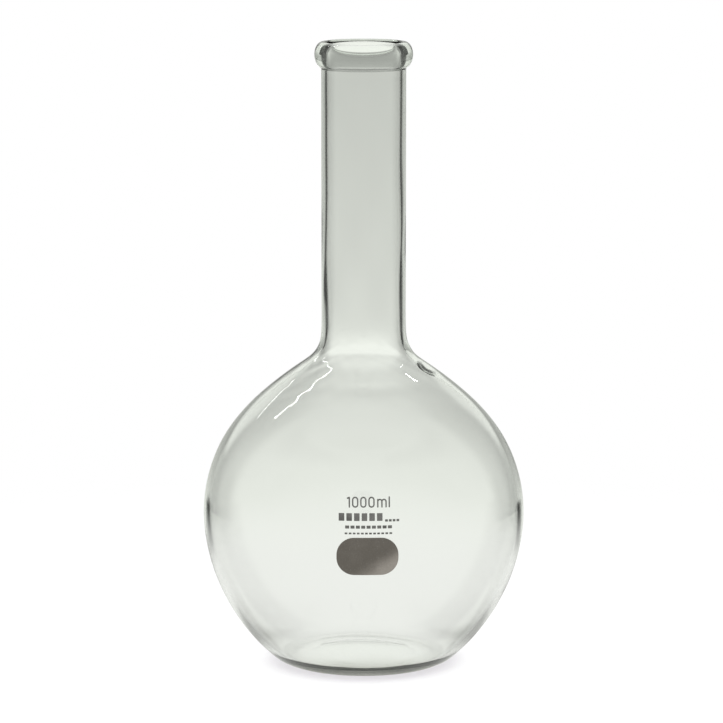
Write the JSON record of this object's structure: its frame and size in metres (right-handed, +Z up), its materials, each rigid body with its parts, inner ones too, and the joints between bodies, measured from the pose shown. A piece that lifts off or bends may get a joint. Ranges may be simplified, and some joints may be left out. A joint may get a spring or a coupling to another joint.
{
  "type": "flat-bottomed boiling flask",
  "caption": "Clear glass boiling flask with a round bulb, flat base, long plain neck and thick beaded rim, for heating and holding liquids.",
  "frame": {"origin": "on the axis of the flask at the level of its foot ring", "axes": "+Z up along the axis of the bulb and neck; the enamel print faces -Y; +X is to the right of someone reading the print"},
  "size_m": [0.131, 0.1311, 0.254],
  "materials": {
    "glass": "clear and glossy, with a faint grey-green tint",
    "mark_enamel": "fired enamel, satin",
    "bars_enamel": "fired enamel, satin",
    "spot_enamel": "fired enamel, fine matt surface that takes pencil"
  },
  "bodies": {
    "root": {"flask_body": "glass", "capacity_mark": "mark_enamel", "print_bars": "bars_enamel", "marking_spot": "spot_enamel"}
  },
  "joints": []
}
